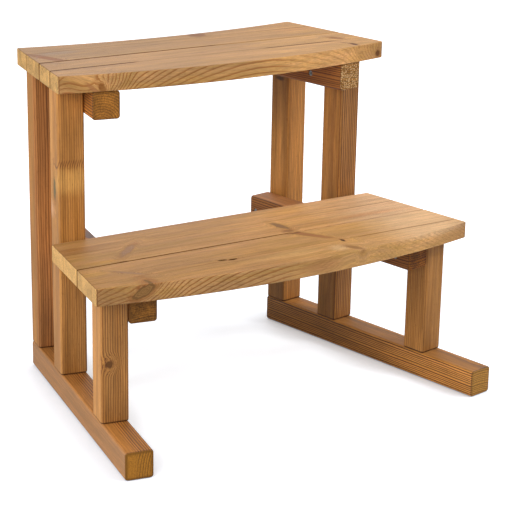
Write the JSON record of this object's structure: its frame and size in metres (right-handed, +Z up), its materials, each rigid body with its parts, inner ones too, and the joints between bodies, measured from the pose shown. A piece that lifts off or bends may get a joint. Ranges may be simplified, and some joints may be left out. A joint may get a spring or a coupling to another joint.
{
  "type": "step stool",
  "caption": "Free-standing two-step stool in oiled heat-treated pine, with curved treads on splayed side frames, for the side of a round tub.",
  "frame": {"origin": "on the floor, under the middle of the stool's overall width and depth", "axes": "+X to the right of someone facing the steps, +Y back towards the tub, +Z up"},
  "size_m": [0.6958, 0.5193, 0.55],
  "materials": {
    "tread_pine": "oiled heat-treated pine, planed and sanded, satin",
    "post_pine": "oiled heat-treated pine, planed, satin",
    "rail_pine": "oiled heat-treated pine, planed, satin, sawn end grain",
    "runner_pine": "oiled heat-treated pine, planed, satin, sawn end grain",
    "zinc_plated_steel": "bright zinc plate"
  },
  "bodies": {
    "root": {"left_front_post": "post_pine", "left_front_post_screw_1": "zinc_plated_steel", "left_front_post_screw_2": "zinc_plated_steel", "left_lower_front_board_screw_1": "zinc_plated_steel", "left_lower_front_board_screw_2": "zinc_plated_steel", "left_lower_rail": "rail_pine", "left_lower_rail_screw_front": "zinc_plated_steel", "left_lower_rail_screw_middle": "zinc_plated_steel", "left_lower_rail_screw_rear": "zinc_plated_steel", "left_lower_rear_board_screw_1": "zinc_plated_steel", "left_lower_rear_board_screw_2": "zinc_plated_steel", "left_middle_post": "post_pine", "left_middle_post_screw_1": "zinc_plated_steel", "left_middle_post_screw_2": "zinc_plated_steel", "left_rear_post": "post_pine", "left_rear_post_screw_1": "zinc_plated_steel", "left_rear_post_screw_2": "zinc_plated_steel", "left_runner": "runner_pine", "left_upper_front_board_screw_1": "zinc_plated_steel", "left_upper_front_board_screw_2": "zinc_plated_steel", "left_upper_rail": "rail_pine", "left_upper_rail_screw_middle": "zinc_plated_steel", "left_upper_rail_screw_rear": "zinc_plated_steel", "left_upper_rear_board_screw_1": "zinc_plated_steel", "left_upper_rear_board_screw_2": "zinc_plated_steel", "lower_tread_front_board": "tread_pine", "lower_tread_rear_board": "tread_pine", "right_front_post": "post_pine", "right_front_post_screw_1": "zinc_plated_steel", "right_front_post_screw_2": "zinc_plated_steel", "right_lower_front_board_screw_1": "zinc_plated_steel", "right_lower_front_board_screw_2": "zinc_plated_steel", "right_lower_rail": "rail_pine", "right_lower_rail_screw_front": "zinc_plated_steel", "right_lower_rail_screw_middle": "zinc_plated_steel", "right_lower_rail_screw_rear": "zinc_plated_steel", "right_lower_rear_board_screw_1": "zinc_plated_steel", "right_lower_rear_board_screw_2": "zinc_plated_steel", "right_middle_post": "post_pine", "right_middle_post_screw_1": "zinc_plated_steel", "right_middle_post_screw_2": "zinc_plated_steel", "right_rear_post": "post_pine", "right_rear_post_screw_1": "zinc_plated_steel", "right_rear_post_screw_2": "zinc_plated_steel", "right_runner": "runner_pine", "right_upper_front_board_screw_1": "zinc_plated_steel", "right_upper_front_board_screw_2": "zinc_plated_steel", "right_upper_rail": "rail_pine", "right_upper_rail_screw_middle": "zinc_plated_steel", "right_upper_rail_screw_rear": "zinc_plated_steel", "right_upper_rear_board_screw_1": "zinc_plated_steel", "right_upper_rear_board_screw_2": "zinc_plated_steel", "upper_tread_front_board": "tread_pine", "upper_tread_rear_board": "tread_pine"}
  },
  "joints": []
}
